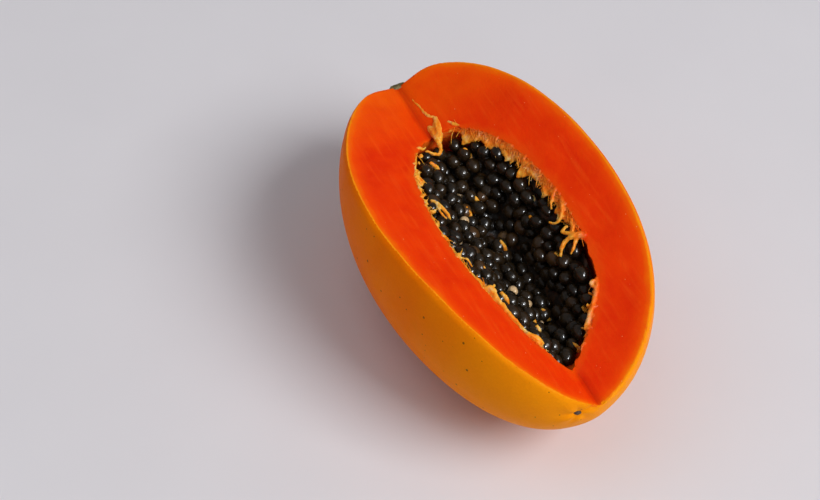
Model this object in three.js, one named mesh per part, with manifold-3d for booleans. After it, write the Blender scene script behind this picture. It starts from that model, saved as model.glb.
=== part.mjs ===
// Half of a ripe papaya, cut lengthwise, with its seeds. Millimetres, +Z up.
// The shapes are worked out in the fruit's own frame: X along the fruit from the stem end (-X)
// to the blossom end (+X), Y across the cut, Z out of the cut, the origin halfway along the axis.
// The half is then laid down on its skin, where it rests on a small flat spot.
import * as THREE from "three";
import { mergeVertices } from "three/addons/utils/BufferGeometryUtils.js";
import Module from "manifold-3d";

const wasm = await Module();
wasm.setup();

// The whole fruit: half its width on each side is (1+u)^stem (1-u)^blossom times a cubic in u,
// where u runs from -1 at the stem end to 1 at the blossom end.
const LENGTH = 178;
const RIGHT_SIDE = { stem: 0.555, blossom: 0.556, cubic: [53.1, 0.8, 8.0, -3.25] };
const LEFT_SIDE = { stem: 0.625, blossom: 0.556, cubic: [51.3, -5.1, -0.7, 5.9] };
const LOBES = { count: 5, height: 0.014, turn: 0.3 };
const STEM_DENT = { depth: 6.0, radius: 14.0 };
const TIP_SWAY = -5.0;
const TIP_DIMPLE = { depth: 1.6, radius: 3.2 };
const TIP_FOLDS = { count: 5, height: 0.1, reach: 0.03 };

// The cut: two faces that meet in a shallow crease, each value given at the stem and blossom end.
const CREASE_Y = [0.3, -1.1];
const CREASE_Z = [1.4, -1.1];
const RIGHT_TILT = [21.1, 15.5];
const LEFT_TILT = [17.8, 36.7];

// The seed hollow, round at the stem end and pointed at the blossom end, where its axis bends left.
const HOLLOW = { middle: 10, half: 62, radius: 27.5, stem: 0.5, blossom: 0.62 };
const HOLLOW_AXIS = { shift: 3.3, bend: -6.8, from: 40, over: 28 };
const HOLLOW_POINT = { from: 0.55, pinch: 2.4 };
const HOLLOW_LOBES = { count: 5, height: 0.035, turn: 0.9 };

// The seeds: rows across a valley that is deepest on the right of the middle.
const SEED = { long: 3.0, short: 2.6, smallest: 0.88, spread: 0.3 };
const SEED_ROWS = { pitch: 6.1, row: 5.4, apart: 5.3, gap: 0.45 };
const SEED_SHAKE = { along: 3.4, across: 3.4, up: 3.0 };
const SEED_ENDS = [-0.92, 0.84];
const VALLEY = { top: 2.0, depth: 19, middle: 0.64, power: 0.95, endDrop: 6 };
const BED_DROP = 1.5;

// The torn strands at the rim of the hollow.
const TUFTS = { left: 13, right: 17, long: 3.6, thick: 1.25 };
const STRAND_THICK = 1.1;

// How the half lies.
const REST_ROLL = 4.5;
const REST_PITCH = 1.4;
const FLAT_DEPTH = 0.9;

const DEGREE = Math.PI / 180;

function between(pair, u) {
  return THREE.MathUtils.lerp(pair[0], pair[1], (u + 1) / 2);
}

// A repeatable scatter value from 0 to 1.
function scatter(index, channel) {
  const value = Math.sin(index * 127.1 + channel * 311.7) * 43758.5453;
  return value - Math.floor(value);
}

function sideWidth(u, side) {
  const [a, b, c, d] = side.cubic;
  const ends = Math.max(1 + u, 0) ** side.stem * Math.max(1 - u, 0) ** side.blossom;
  return ends * (a + b * u + c * u * u + d * u * u * u);
}

function skinPoint(u, angle) {
  const share = 0.5 * (1 + Math.cos(angle));
  const plain = sideWidth(u, RIGHT_SIDE) * share + sideWidth(u, LEFT_SIDE) * (1 - share);
  const lobes = LOBES.height * Math.cos(LOBES.count * (angle - LOBES.turn)) * (1 - u) / 2;
  const folds = TIP_FOLDS.height * Math.cos(TIP_FOLDS.count * angle) * Math.exp((u - 1) / TIP_FOLDS.reach);
  const radius = plain * (1 + lobes + folds);
  let x = u * LENGTH / 2;
  if (u < 0) {
    x += STEM_DENT.depth * Math.exp(-((radius / STEM_DENT.radius) ** 2));
  } else {
    x -= TIP_DIMPLE.depth * Math.exp(-((radius / TIP_DIMPLE.radius) ** 2));
  }
  const sway = TIP_SWAY * ((u + 1) / 2) ** 4;
  return new THREE.Vector3(x, radius * Math.cos(angle) + sway, radius * Math.sin(angle));
}

function cutHeight(x, y) {
  const u = THREE.MathUtils.clamp(2 * x / LENGTH, -1, 1);
  const off = y - between(CREASE_Y, u);
  const tilt = off > 0 ? between(RIGHT_TILT, u) : between(LEFT_TILT, u);
  return between(CREASE_Z, u) + Math.tan(tilt * DEGREE) * Math.abs(off);
}

function hollowRadius(v, angle) {
  const ends = Math.max(1 + v, 0) ** HOLLOW.stem * Math.max(1 - v, 0) ** HOLLOW.blossom;
  const lobes = HOLLOW_LOBES.height * Math.cos(HOLLOW_LOBES.count * (angle - HOLLOW_LOBES.turn));
  const pinch = HOLLOW_POINT.pinch * Math.max(v - HOLLOW_POINT.from, 0) ** 2;
  return HOLLOW.radius * ends * (1 + lobes) * (1 - pinch);
}

function hollowAxis(x) {
  const share = THREE.MathUtils.clamp((x - HOLLOW_AXIS.from) / HOLLOW_AXIS.over, 0, 1);
  return HOLLOW_AXIS.shift + HOLLOW_AXIS.bend * share ** 1.5;
}

function hollowPoint(v, angle, inset) {
  const radius = Math.max(hollowRadius(v, angle) - inset, 0);
  const x = HOLLOW.middle + v * (HOLLOW.half - inset);
  return new THREE.Vector3(x, hollowAxis(x) + radius * Math.cos(angle), radius * Math.sin(angle));
}

// Where the wall of the hollow meets the cut, on the right (1) or left (-1).
function rimY(x, side) {
  const v = (x - HOLLOW.middle) / HOLLOW.half;
  const axis = hollowAxis(x);
  let inner = 0;
  let outer = 45;
  for (let step = 0; step < 30; step += 1) {
    const off = (inner + outer) / 2;
    const z = cutHeight(x, axis + side * off);
    const angle = Math.atan2(z, side * off);
    if (Math.hypot(off, z) < hollowRadius(v, angle)) {
      inner = off;
    } else {
      outer = off;
    }
  }
  return axis + side * inner;
}

// Height of the seeds' middles.
function valleyHeight(x, y) {
  const v = (x - HOLLOW.middle) / HOLLOW.half;
  const left = rimY(x, -1);
  const right = rimY(x, 1);
  const bottom = THREE.MathUtils.lerp(left, right, VALLEY.middle);
  const side = y < bottom ? left : right;
  const away = Math.abs(y - bottom) / Math.max(Math.abs(side - bottom), 1);
  const deep = VALLEY.depth * Math.max(1 - v * v, 0) * (1 - Math.min(away, 1) ** VALLEY.power);
  const ends = VALLEY.endDrop * Math.max(Math.abs(v) - 0.8, 0) / 0.2;
  return cutHeight(x, y) - VALLEY.top - deep - ends;
}

function toManifold(geometry) {
  const bare = geometry.clone();
  bare.deleteAttribute("normal");
  bare.deleteAttribute("uv");
  const merged = mergeVertices(bare, 1e-4);
  return new wasm.Manifold(new wasm.Mesh({
    numProp: 3,
    vertProperties: new Float32Array(merged.attributes.position.array),
    triVerts: new Uint32Array(merged.index.array),
  }));
}

function toGeometry(manifold) {
  const mesh = manifold.getMesh();
  const geometry = new THREE.BufferGeometry();
  geometry.setAttribute("position", new THREE.BufferAttribute(new Float32Array(mesh.vertProperties), 3));
  geometry.setIndex(new THREE.BufferAttribute(new Uint32Array(mesh.triVerts), 1));
  return geometry;
}

function remap(geometry, rule) {
  const position = geometry.attributes.position;
  const point = new THREE.Vector3();
  for (let i = 0; i < position.count; i += 1) {
    point.fromBufferAttribute(position, i);
    const moved = rule(point);
    position.setXYZ(i, moved.x, moved.y, moved.z);
  }
  return geometry;
}

// A ball with its poles on X, drawn out to a shape given along the fruit and round it.
function roundBody(around, along, rule) {
  const ball = new THREE.SphereGeometry(1, around, along).rotateZ(-Math.PI / 2);
  return toManifold(remap(ball, (p) => rule(THREE.MathUtils.clamp(p.x, -1, 1), Math.atan2(p.z, p.y))));
}

// All the space above a height rule.
function spaceAbove(alongSteps, acrossSteps, rule) {
  const block = new THREE.BoxGeometry(220, 150, 2, alongSteps, acrossSteps, 1);
  return toManifold(remap(block, (p) => {
    const y = p.y + between(CREASE_Y, THREE.MathUtils.clamp(2 * p.x / LENGTH, -1, 1));
    return new THREE.Vector3(p.x, y, p.z > 0 ? 120 : rule(p.x, y));
  }));
}

function largest(manifold) {
  return manifold.decompose().sort((a, b) => b.volume() - a.volume())[0];
}

// Seeds: laid out in rows along the valley, shaken a little, then pushed apart.
function seedCentres() {
  const seeds = [];
  const first = HOLLOW.middle + SEED_ENDS[0] * HOLLOW.half;
  const last = HOLLOW.middle + SEED_ENDS[1] * HOLLOW.half;
  const rows = Math.round((last - first) / SEED_ROWS.row);
  for (let row = 0; row <= rows; row += 1) {
    const x = first + (last - first) * row / rows;
    const from = rimY(x, -1) + SEED.short;
    const to = rimY(x, 1) - SEED.short;
    const line = [];
    for (let step = 0; step <= 40; step += 1) {
      const y = THREE.MathUtils.lerp(from, to, step / 40);
      line.push(new THREE.Vector3(x, y, valleyHeight(x, y)));
    }
    const curve = new THREE.CatmullRomCurve3(line);
    const count = Math.max(1, Math.round(curve.getLength() / SEED_ROWS.pitch));
    for (let k = 0; k < count; k += 1) {
      const seed = curve.getPointAt((k + 0.5 + (row % 2 ? 0.22 : -0.22)) / count);
      const index = seeds.length;
      seed.x += SEED_SHAKE.along * (scatter(index, 1) - 0.5);
      seed.y += SEED_SHAKE.across * (scatter(index, 2) - 0.5);
      seed.z += SEED_SHAKE.up * (scatter(index, 3) - 0.5);
      seeds.push(seed);
    }
  }
  for (let round = 0; round < 40; round += 1) {
    pushApart(seeds);
    seeds.forEach(keepInside);
  }
  return seeds;
}

function seedSize(index) {
  return SEED.smallest + SEED.spread * scatter(index, 4);
}

function pushApart(seeds) {
  const away = new THREE.Vector3();
  for (let i = 0; i < seeds.length; i += 1) {
    for (let j = i + 1; j < seeds.length; j += 1) {
      away.subVectors(seeds[j], seeds[i]);
      const distance = away.length();
      const clear = SEED_ROWS.apart * (seedSize(i) + seedSize(j)) / 2;
      if (distance < clear && distance > 0.01) {
        away.multiplyScalar(0.25 * (clear - distance) / distance);
        seeds[i].sub(away);
        seeds[j].add(away);
      }
    }
  }
}

function keepInside(seed) {
  const v = THREE.MathUtils.clamp((seed.x - HOLLOW.middle) / HOLLOW.half, SEED_ENDS[0], SEED_ENDS[1]);
  seed.x = HOLLOW.middle + v * HOLLOW.half;
  const axis = hollowAxis(seed.x);
  const off = seed.y - axis;
  const angle = Math.atan2(seed.z, off);
  const limit = hollowRadius(v, angle) - SEED.short - SEED_ROWS.gap;
  const reach = Math.hypot(off, seed.z);
  if (reach > limit) {
    seed.y = axis + off * limit / reach;
    seed.z *= limit / reach;
  }
  const height = valleyHeight(seed.x, seed.y);
  seed.z = THREE.MathUtils.clamp(seed.z, height - 1.2, height + 1.0);
}

function seedBody(centre, index, grow) {
  const size = seedSize(index);
  const turn = new THREE.Euler(3 * scatter(index, 5), 3 * scatter(index, 6), 3 * scatter(index, 7));
  const seed = new THREE.OctahedronGeometry(1, 1);
  seed.scale(SEED.short * size + grow, SEED.short * size + grow, SEED.long * size + grow);
  seed.applyMatrix4(new THREE.Matrix4().makeRotationFromEuler(turn));
  seed.translate(centre.x, centre.y, centre.z);
  return toManifold(seed);
}

function seedMass(centres) {
  const inside = roundBody(24, 20, (v, angle) => hollowPoint(v, angle, SEED_ROWS.gap));
  const bed = inside.subtract(spaceAbove(18, 14, (x, y) => valleyHeight(x, y) - BED_DROP));
  const bodies = centres.map((centre, index) => seedBody(centre, index, 0));
  return largest(wasm.Manifold.union([bed, ...bodies]).intersect(inside));
}

// A short torn tuft of the strands, its root sunk in the rim.
function tuft(index, side) {
  const count = side > 0 ? TUFTS.right : TUFTS.left;
  const v = -0.9 + 1.78 * (index + scatter(index, 11 + side)) / count;
  const x = HOLLOW.middle + v * HOLLOW.half;
  const y = rimY(x, side);
  const long = TUFTS.long * (0.6 + scatter(index, 14 + side) ** 2);
  const thick = TUFTS.thick * (0.8 + 0.5 * scatter(index, 23 + side));
  const body = new THREE.OctahedronGeometry(1, 1);
  body.scale(long, thick, thick);
  body.translate(0.4 * long, 0, 0);
  body.rotateY(0.1 + 0.7 * scatter(index, 17 + side));
  body.rotateZ(-side * Math.PI / 2 + 2.2 * (scatter(index, 20 + side) - 0.5));
  body.translate(x, y, cutHeight(x, y) - 1.0);
  return toManifold(body);
}

// A longer strand through a few points, each given along, across and above the cut.
function strand(points, thick) {
  const line = points.map(([x, y, rise]) => new THREE.Vector3(x, y, cutHeight(x, y) + rise));
  const section = new THREE.Shape();
  section.absellipse(0, 0, thick, 0.8 * thick, 0, 2 * Math.PI);
  return toManifold(new THREE.ExtrudeGeometry(section, {
    steps: 2 * points.length,
    curveSegments: 3,
    extrudePath: new THREE.CatmullRomCurve3(line),
    bevelEnabled: false,
  }));
}

function strands() {
  const bodies = [];
  for (let index = 0; index < TUFTS.left; index += 1) {
    bodies.push(tuft(index, -1));
  }
  for (let index = 0; index < TUFTS.right; index += 1) {
    bodies.push(tuft(index, 1));
  }
  const hook = [[-57, 2.5, -1.5], [-51, 2, 0.2], [-46, 1.5, 0.4], [-42.5, 0, 0.2], [-43, -4, 0]];
  const fork = [[23, 32, -1.5], [22, 28, 0], [21, 24.5, -0.6], [20.5, 21, -2.5]];
  const leftStrip = [[31, -20, -1.2], [37, -18.5, 0], [45, -17, 0.3], [53, -16.5, -0.2], [57, -17, -1.2]];
  const rightStrip = [[40, 27, -1.2], [45, 22.5, 0.2], [50.5, 17.5, 0.2], [55.5, 12, 0], [60, 8.5, -1.2]];
  const backStrip = [[-36, 23.5, -1.2], [-28, 24.5, 0.2], [-18, 27, 0.3], [-8, 28, 0], [1, 31, -1.2]];
  for (const line of [hook, fork, leftStrip, rightStrip, backStrip]) {
    bodies.push(strand(line, STRAND_THICK));
  }
  return wasm.Manifold.union(bodies);
}

function fruitHalf(centres) {
  const whole = roundBody(40, 34, skinPoint);
  const aboveCut = spaceAbove(16, 8, cutHeight);
  const hollow = roundBody(24, 20, (v, angle) => hollowPoint(v, angle, 0));
  const shell = whole.subtract(aboveCut).subtract(hollow);
  const room = wasm.Manifold.union(centres.map((centre, index) => seedBody(centre, index, 0.35)));
  return largest(shell.add(strands().subtract(room)));
}

// The half lies turned a little, with the lowest skin on the ground.
const lying = new THREE.Group();
lying.rotation.set(REST_ROLL * DEGREE, REST_PITCH * DEGREE, 0, "YXZ");
lying.updateMatrixWorld();

// The ground pressed up into the skin, seen from the fruit's own frame.
function groundSpace(body) {
  const geometry = toGeometry(body).applyMatrix4(lying.matrixWorld);
  geometry.computeBoundingBox();
  const level = geometry.boundingBox.min.z + FLAT_DEPTH;
  const ground = new THREE.BoxGeometry(400, 400, 100).translate(0, 0, level - 50);
  return toManifold(ground.applyMatrix4(lying.matrixWorld.clone().invert()));
}

const centres = seedCentres();
const roundHalf = fruitHalf(centres);
const fruitBody = roundHalf.subtract(groundSpace(roundHalf));
const seedBodies = seedMass(centres);

const fleshMaterial = new THREE.MeshStandardMaterial({ color: 0xe8641c, roughness: 0.45, metalness: 0 });
const seedMaterial = new THREE.MeshStandardMaterial({ color: 0x1d1812, roughness: 0.25, metalness: 0 });
const fruitMesh = new THREE.Mesh(toGeometry(fruitBody), fleshMaterial);
fruitMesh.name = "fruit_half";
const seedMesh = new THREE.Mesh(toGeometry(seedBodies), seedMaterial);
seedMesh.name = "seed_mass";
lying.add(fruitMesh, seedMesh);

// The origin is on the ground, under the middle of the half's outer box.
const outer = new THREE.Box3().setFromObject(fruitMesh, true);
const middle = outer.getCenter(new THREE.Vector3());
lying.position.set(-middle.x, -middle.y, -outer.min.z);

const papaya = new THREE.Group();
papaya.name = "papaya_half";
papaya.add(lying);

export default papaya;
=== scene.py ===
# %% [markdown]
# # Half a papaya, cut lengthwise
# A ripe papaya that was cut with a knife lies on its round back. It has a thin orange skin, thick
# red-orange flesh, and a pointed hollow full of wet black seeds held by torn, pale strands.
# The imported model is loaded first, so that every piece below is made in its frame, in metres.

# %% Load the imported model
import math

import bpy
import numpy as np
from mathutils import Matrix, Vector, noise


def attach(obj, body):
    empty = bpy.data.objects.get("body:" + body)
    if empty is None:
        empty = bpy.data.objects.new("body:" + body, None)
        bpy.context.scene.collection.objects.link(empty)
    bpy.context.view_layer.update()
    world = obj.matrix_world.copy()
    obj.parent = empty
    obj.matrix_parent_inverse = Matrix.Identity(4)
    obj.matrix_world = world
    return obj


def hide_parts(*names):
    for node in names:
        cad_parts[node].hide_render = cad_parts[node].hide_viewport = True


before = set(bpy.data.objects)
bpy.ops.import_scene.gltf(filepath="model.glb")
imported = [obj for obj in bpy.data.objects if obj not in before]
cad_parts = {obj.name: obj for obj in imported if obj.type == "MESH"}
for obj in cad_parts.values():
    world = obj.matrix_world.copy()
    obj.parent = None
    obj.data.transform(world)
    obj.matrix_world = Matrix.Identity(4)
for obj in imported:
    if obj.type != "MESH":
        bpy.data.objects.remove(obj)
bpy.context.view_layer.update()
print("nodes:", sorted(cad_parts))

# %% [markdown]
# ## The fruit's own frame
# It is easier to think about a fruit along its own axis than as it lies. So each piece is shaped in
# millimetres with X from the stem end to the blossom end, Y across the cut and Z out of the cut.
# One matrix then lays it down: a small roll and pitch, a shift, and the change to metres.

# %% The matrix that lays a piece down
REST_ROLL = math.radians(4.5)
REST_PITCH = math.radians(1.4)
REST_SHIFT = Vector((-0.002318, -0.000476, 0.050785))
TURN = Matrix.Rotation(REST_PITCH, 4, "Y") @ Matrix.Rotation(REST_ROLL, 4, "X")
LAY_DOWN = Matrix.Translation(REST_SHIFT) @ TURN @ Matrix.Scale(0.001, 4)
print("lies at", [round(value, 4) for value in LAY_DOWN.translation])

# %% [markdown]
# ## The camera
# The camera comes before the shapes.
# Its place is given in the fruit's frame and laid down by the same matrix as the fruit.

# %% Add the camera
CAMERA_TURN = math.radians(64.4)
CAMERA_LIFT = math.radians(50.8)
CAMERA_EYE = Vector((412.5, -231.4, 567.3))
CAMERA_VIEW = math.radians(24)


def camera_axes():
    """The camera's right, up and back directions in the fruit's frame."""
    back = Vector((
        math.sin(CAMERA_TURN) * math.cos(CAMERA_LIFT),
        -math.cos(CAMERA_TURN) * math.cos(CAMERA_LIFT),
        math.sin(CAMERA_LIFT),
    ))
    right = Vector((math.cos(CAMERA_TURN), math.sin(CAMERA_TURN), 0))
    return right, back.cross(right), back


bpy.ops.object.select_all(action="DESELECT")
bpy.ops.object.camera_add()
camera = bpy.context.active_object
camera.name = "camera"
camera.data.angle = CAMERA_VIEW
camera.data.clip_start = 0.01
camera_right, camera_up, camera_back = camera_axes()
facing = Matrix((camera_right, camera_up, camera_back)).transposed().to_4x4()
camera.matrix_world = Matrix.Translation(LAY_DOWN @ CAMERA_EYE) @ TURN @ facing
bpy.context.scene.camera = camera
print("camera at", [round(value, 3) for value in camera.matrix_world.translation])

# %% [markdown]
# ## The shape of the whole fruit
# A papaya is an egg with blunt ends, a dent where the stalk sat, five faint lobes and a puckered tip.
# It could be sculpted, but a rule is exact and can be asked again later, for the seeds and colours.
# In the rule, u runs from -1 at the stem end to 1 at the blossom end, and angle runs round the axis.

# %% Rules for the skin
LENGTH = 178.0
RIGHT_SIDE = (0.555, 0.556, (53.1, 0.8, 8.0, -3.25))
LEFT_SIDE = (0.625, 0.556, (51.3, -5.1, -0.7, 5.9))
TIP_SWAY = -5.0
LOBES, TIP_FOLDS = 0.014, 0.1
STALK_DENT, STALK_DENT_WIDE = 6.0, 14.0
TIP_DENT, TIP_DENT_WIDE = -0.5, 3.2
FLOWER_SCAR = np.array((88.2, -9.3, -1.4))


def side_width(u, side):
    """Half the fruit's width on one side."""
    stem, blossom, (a, b, c, d) = side
    ends = np.maximum(1 + u, 0) ** stem * np.maximum(1 - u, 0) ** blossom
    return ends * (a + b * u + c * u ** 2 + d * u ** 3)


def skin_radius(u, angle):
    """How far the skin is from the axis."""
    share = 0.5 * (1 + np.cos(angle))
    plain = side_width(u, RIGHT_SIDE) * share + side_width(u, LEFT_SIDE) * (1 - share)
    lobes = LOBES * np.cos(5 * (angle - 0.3)) * (1 - u) / 2
    folds = TIP_FOLDS * np.cos(5 * angle) * np.exp((u - 1) / 0.03)
    return plain * (1 + lobes + folds)


def sway(u):
    """The sideways bend of the tip."""
    return TIP_SWAY * ((u + 1) / 2) ** 4


def skin_points(u, angle):
    """Points of the skin in the fruit's frame."""
    radius = skin_radius(u, angle)
    at_stalk = STALK_DENT * np.exp(-(radius / STALK_DENT_WIDE) ** 2)
    at_tip = TIP_DENT * np.exp(-(radius / TIP_DENT_WIDE) ** 2)
    x = u * LENGTH / 2 + np.where(u < 0, at_stalk, at_tip)
    points = np.column_stack((x, radius * np.cos(angle) + sway(u), radius * np.sin(angle)))
    points[:, 0] += pucker(points)
    return points


def pucker(points):
    """How far the skin is drawn in, and folded, round the flower's scar."""
    off = points - FLOWER_SCAR
    reach = np.linalg.norm(off, axis=1)
    folds = np.cos(5 * np.arctan2(off[:, 2], off[:, 1]) + 0.9) * np.minimum(reach / 3, 1)
    return 0.55 * folds * np.exp(-(reach / 6.5) ** 2) - 1.3 * np.exp(-(reach / 2.4) ** 2)


widths = [round(float(side_width(0.0, side)), 1) for side in (RIGHT_SIDE, LEFT_SIDE)]
print("half widths in the middle, right and left:", widths)

# %% [markdown]
# ## The rules for the cut and the hollow
# The knife went in twice, so the cut is two faces that meet in a shallow crease, and each face twists
# a little from end to end. A slow ripple keeps the faces from looking machined. The hollow is an egg
# again, round towards the stem and pointed towards the tip, where its axis bends to the left.
# Outside the hollow the two strokes tore a narrow slit along the crease.

# %% Rules for the cut and the hollow
HOLLOW_MIDDLE, HOLLOW_HALF, HOLLOW_WIDE = 10.0, 62.0, 27.5
CREASE_PLACE, CREASE_HEIGHT = (0.3, -1.1), (1.4, -1.1)
RIGHT_TILT, LEFT_TILT = (21.1, 15.5), (17.8, 36.7)
SLIT_DEEP, SLIT_WIDE = 0.8, 1.3


def blend_along(x, stem, blossom):
    """A value that changes evenly from the stem end to the blossom end."""
    share = np.clip(x / LENGTH + 0.5, 0, 1)
    return stem + (blossom - stem) * share


def crease_y(x):
    """Where the two cut faces meet."""
    return blend_along(x, *CREASE_PLACE)


def cut_height(x, y):
    """Height of the plain cut faces."""
    off = y - crease_y(x)
    tilt = np.where(off > 0, blend_along(x, *RIGHT_TILT), blend_along(x, *LEFT_TILT))
    return blend_along(x, *CREASE_HEIGHT) + np.tan(np.radians(tilt)) * np.abs(off)


def crease_gap(x, y):
    """How far a point is from the crease, which wanders a little."""
    return np.abs(y - crease_y(x) - 0.35 * np.sin(x / 4.5))


def beyond_hollow(x):
    """From 0 along the hollow to 1 just past its ends."""
    return np.clip((np.abs(x - HOLLOW_MIDDLE) - HOLLOW_HALF + 3) / 4, 0, 1)


def knife_ripple(x, y):
    """The slow waves that a hand-held knife leaves, and the torn slit along the crease."""
    waves = 0.22 * np.sin(x / 11 + y / 23) * np.sin(y / 9 - x / 31) + 0.1 * np.sin(x / 4.3 + y / 6.1)
    return waves - SLIT_DEEP * np.exp(-(crease_gap(x, y) / SLIT_WIDE) ** 2) * beyond_hollow(x)


def hollow_radius(v, angle):
    """How far the hollow's wall is from its axis; v runs from -1 to 1 along it."""
    ends = np.maximum(1 + v, 0) ** 0.5 * np.maximum(1 - v, 0) ** 0.62
    pinch = 1 - 2.4 * np.maximum(v - 0.55, 0) ** 2
    return HOLLOW_WIDE * ends * pinch * (1 + 0.035 * np.cos(5 * (angle - 0.9)))


def hollow_axis(x):
    """How far the hollow's axis lies to the right."""
    return 3.3 - 6.8 * np.clip((x - 40) / 28, 0, 1) ** 1.5


def rim_y(x, side):
    """Where the hollow's wall meets the cut, on the right (1) or the left (-1)."""
    v = (x - HOLLOW_MIDDLE) / HOLLOW_HALF
    axis = hollow_axis(x)
    inner, outer = np.zeros_like(x), np.full_like(x, 45.0)
    for _ in range(30):
        off = (inner + outer) / 2
        z = cut_height(x, axis + side * off)
        inside = np.hypot(off, z) < hollow_radius(v, np.arctan2(z, side * off))
        inner, outer = np.where(inside, off, inner), np.where(inside, outer, off)
    return axis + side * inner


STATIONS = np.linspace(HOLLOW_MIDDLE - HOLLOW_HALF, HOLLOW_MIDDLE + HOLLOW_HALF, 249)
LEFT_RIM, RIGHT_RIM = rim_y(STATIONS, -1), rim_y(STATIONS, 1)
print("hollow is widest at", round(float((RIGHT_RIM - LEFT_RIM).max()), 1), "mm")

# %% [markdown]
# ## Helpers to pull points
# Blender keeps a mesh's points in one long list. Reading and writing that list in one go is fast enough
# to shape tens of thousands of points by a rule. Operators act on what is selected, so more helpers
# select a piece, or everything in it, and name what an operator added.

# %% Read and write a mesh's points
def deselect():
    """Nothing selected, so that the next operator acts on the new piece alone."""
    bpy.ops.object.select_all(action="DESELECT")


def select_only(piece):
    deselect()
    piece.select_set(True)
    bpy.context.view_layer.objects.active = piece


def added(name):
    """The piece that the last operator added, with its name."""
    piece = bpy.context.active_object
    piece.name = name
    return piece


def edit_all(step, **settings):
    """Runs one Edit Mode operator on everything in the active piece."""
    bpy.ops.object.mode_set(mode="EDIT")
    bpy.ops.mesh.select_all(action="SELECT")
    step(**settings)
    bpy.ops.object.mode_set(mode="OBJECT")


def read_points(piece):
    points = np.empty(len(piece.data.vertices) * 3)
    piece.data.vertices.foreach_get("co", points)
    return points.reshape(-1, 3)


def write_points(piece, points):
    piece.data.vertices.foreach_set("co", np.ascontiguousarray(points, dtype=float).ravel())
    piece.data.update()


def lay_down(piece):
    """Takes a finished piece from the fruit's frame to the part's frame."""
    points = read_points(piece)
    matrix = np.array(LAY_DOWN)
    write_points(piece, points @ matrix[:3, :3].T + matrix[:3, 3])


def faces_of(piece):
    return len(piece.data.polygons)


print("helpers for points are ready")

# %% [markdown]
# ## The whole fruit
# A UV sphere already has rings along an axis and segments round it, as the rule does. Each ring slides
# to its place along the fruit and each point is pulled out to the skin.

# %% Pull a sphere into the whole fruit
def ball(name, segments, rings):
    deselect()
    bpy.ops.mesh.primitive_uv_sphere_add(segments=segments, ring_count=rings, radius=1)
    piece = added(name)
    unit = read_points(piece)
    return piece, np.clip(unit[:, 2], -1, 1), np.arctan2(unit[:, 1], unit[:, 0])


fruit, along, around = ball("fruit_half_skin_and_flesh", segments=240, rings=160)
write_points(fruit, skin_points(along, around))
print("whole fruit:", faces_of(fruit), "faces")

# %% [markdown]
# ## The knife's two strokes
# A fine grid takes the shape of the cut and is extruded up into a block. A Boolean takes that block off
# the fruit, and its grid becomes the fine mesh of the cut faces.

# %% Make the block that the knife takes away
BLOCK_HALF_LONG, BLOCK_HALF_WIDE = 98, 64


def sheet_block(name, cells_along, cells_across, rule, lift):
    """A grid over the fruit at a rule's heights, extruded up into a closed block."""
    deselect()
    bpy.ops.mesh.primitive_grid_add(x_subdivisions=cells_along, y_subdivisions=cells_across, size=2)
    piece = added(name)
    points = read_points(piece)
    points[:, 1] = np.where(np.abs(points[:, 1]) < 0.6 / cells_across, 0, points[:, 1])
    x = points[:, 0] * BLOCK_HALF_LONG
    y = points[:, 1] * BLOCK_HALF_WIDE + crease_y(x)
    write_points(piece, np.column_stack((x, y, rule(x, y))))
    edit_all(bpy.ops.mesh.extrude_region_move, TRANSFORM_OT_translate={"value": (0, 0, lift)})
    edit_all(bpy.ops.mesh.normals_make_consistent, inside=False)
    return piece


def cut_away(piece, block):
    """Takes a block off a piece with a Boolean and removes the block."""
    modifier = piece.modifiers.new(block.name, "BOOLEAN")
    modifier.operation = "DIFFERENCE"
    modifier.solver = "MANIFOLD"
    modifier.object = block
    deselect()
    bpy.context.view_layer.objects.active = piece
    bpy.ops.object.modifier_apply(modifier=modifier.name)
    bpy.data.objects.remove(block, do_unlink=True)


def knife_height(x, y):
    return cut_height(x, y) + knife_ripple(x, y)


cut_away(fruit, sheet_block("knife_block", 164, 108, knife_height, lift=90))
print("half:", faces_of(fruit), "faces")

# %% [markdown]
# ## The hollow
# The wall of the hollow is not smooth: it is ribbed where the seeds' strands hung on it. The egg of
# the hollow gets coarse and fine noise for ribs before it is taken out of the half.

# %% Take the hollow out
def hollow_points(v, angle, inset):
    radius = np.maximum(hollow_radius(v, angle) - inset, 0)
    x = HOLLOW_MIDDLE + v * (HOLLOW_HALF - inset)
    return np.column_stack((x, hollow_axis(x) + radius * np.cos(angle), radius * np.sin(angle)))


def slow_noise(points, size, seed):
    """Smooth noise from -1 to 1 at each point, with waves of about the given size."""
    offset = Vector((17.3 * seed, -9.1 * seed, 4.7 * seed))
    return np.array([noise.noise(Vector(point) / size + offset) for point in points])


egg, along, around = ball("hollow_egg", segments=150, rings=110)
smooth_wall = hollow_points(along, around, 0)
ribs = 0.9 * slow_noise(smooth_wall, 4.5, 1) + 0.45 * slow_noise(smooth_wall, 1.8, 2)
write_points(egg, hollow_points(along, around, ribs))
cut_away(fruit, egg)
print("half with its hollow:", faces_of(fruit), "faces")

# %% [markdown]
# ## Which face is skin, flesh or wall
# One piece carries three finishes. The rules say where each face lies: on the cut or in its slit, on
# the hollow's wall, or else on the skin. The same rules give each point its depth under the skin and
# its distance to the hollow, which the finishes read as attributes.

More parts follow.
